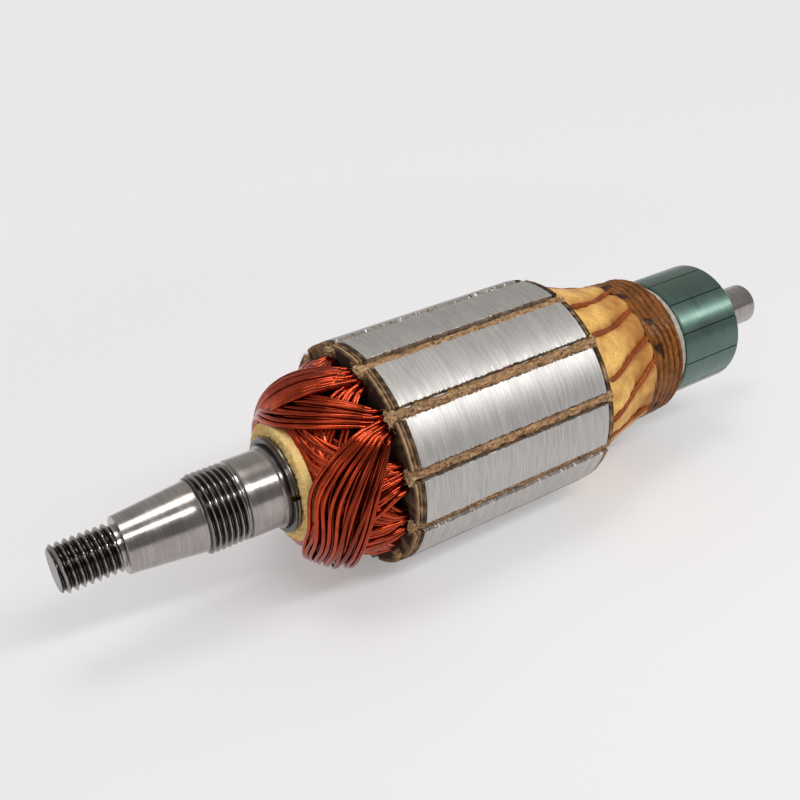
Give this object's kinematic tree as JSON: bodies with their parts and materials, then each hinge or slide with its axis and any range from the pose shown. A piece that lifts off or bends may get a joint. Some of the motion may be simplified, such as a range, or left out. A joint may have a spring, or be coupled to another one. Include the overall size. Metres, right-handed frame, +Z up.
{
  "type": "dynamo armature",
  "caption": "Wound dynamo armature: slotted laminated core on a tapered, threaded shaft, copper winding heads, varnished cord binding and a barrel commutator.",
  "frame": {"origin": "on the shaft's axis, in the plane of the drive-end bearing shoulder", "axes": "+X along the shaft from the drive end to the commutator end, +Z up"},
  "size_m": [0.221, 0.059, 0.059],
  "materials": {
    "turned_steel": "turned, lightly oiled",
    "core_steel": "ground laminations",
    "pressboard": "fibrous pressboard",
    "end_fibre": "varnished fibre board",
    "slot_paper": "slot paper",
    "slot_fibre": "fibre strip",
    "enamelled_wire": "enamelled copper wire",
    "varnished_cloth": "varnished cloth",
    "varnished_cord": "cord soaked in varnish",
    "mica": "moulded mica",
    "moulding": "moulded insulation",
    "lacquered_copper": "copper under green lacquer"
  },
  "bodies": {
    "root": {"shaft": "turned_steel", "split_washer": "turned_steel", "winding_sleeve": "pressboard", "drive_end_plate": "end_fibre", "commutator_end_plate": "end_fibre", "lamination_stack": "core_steel", "slot_liners": "slot_paper", "slot_windings": "enamelled_wire", "rear_winding": "enamelled_wire", "lead_wires": "enamelled_wire", "winding_cover": "varnished_cloth", "cord_binding": "varnished_cord", "insulating_ring": "mica", "commutator_hub": "moulding", "commutator_bars": "lacquered_copper", "slot_wedge_01": "slot_fibre", "slot_wedge_02": "slot_fibre", "slot_wedge_03": "slot_fibre", "slot_wedge_04": "slot_fibre", "slot_wedge_05": "slot_fibre", "slot_wedge_06": "slot_fibre", "slot_wedge_07": "slot_fibre", "slot_wedge_08": "slot_fibre", "slot_wedge_09": "slot_fibre", "slot_wedge_10": "slot_fibre", "slot_wedge_11": "slot_fibre", "slot_wedge_12": "slot_fibre", "head_coil_01": "enamelled_wire", "head_coil_02": "enamelled_wire", "head_coil_03": "enamelled_wire", "head_coil_04": "enamelled_wire", "head_coil_05": "enamelled_wire", "head_coil_06": "enamelled_wire", "head_coil_07": "enamelled_wire", "head_coil_08": "enamelled_wire", "head_coil_09": "enamelled_wire", "head_coil_10": "enamelled_wire", "head_coil_11": "enamelled_wire", "head_coil_12": "enamelled_wire"}
  },
  "joints": []
}
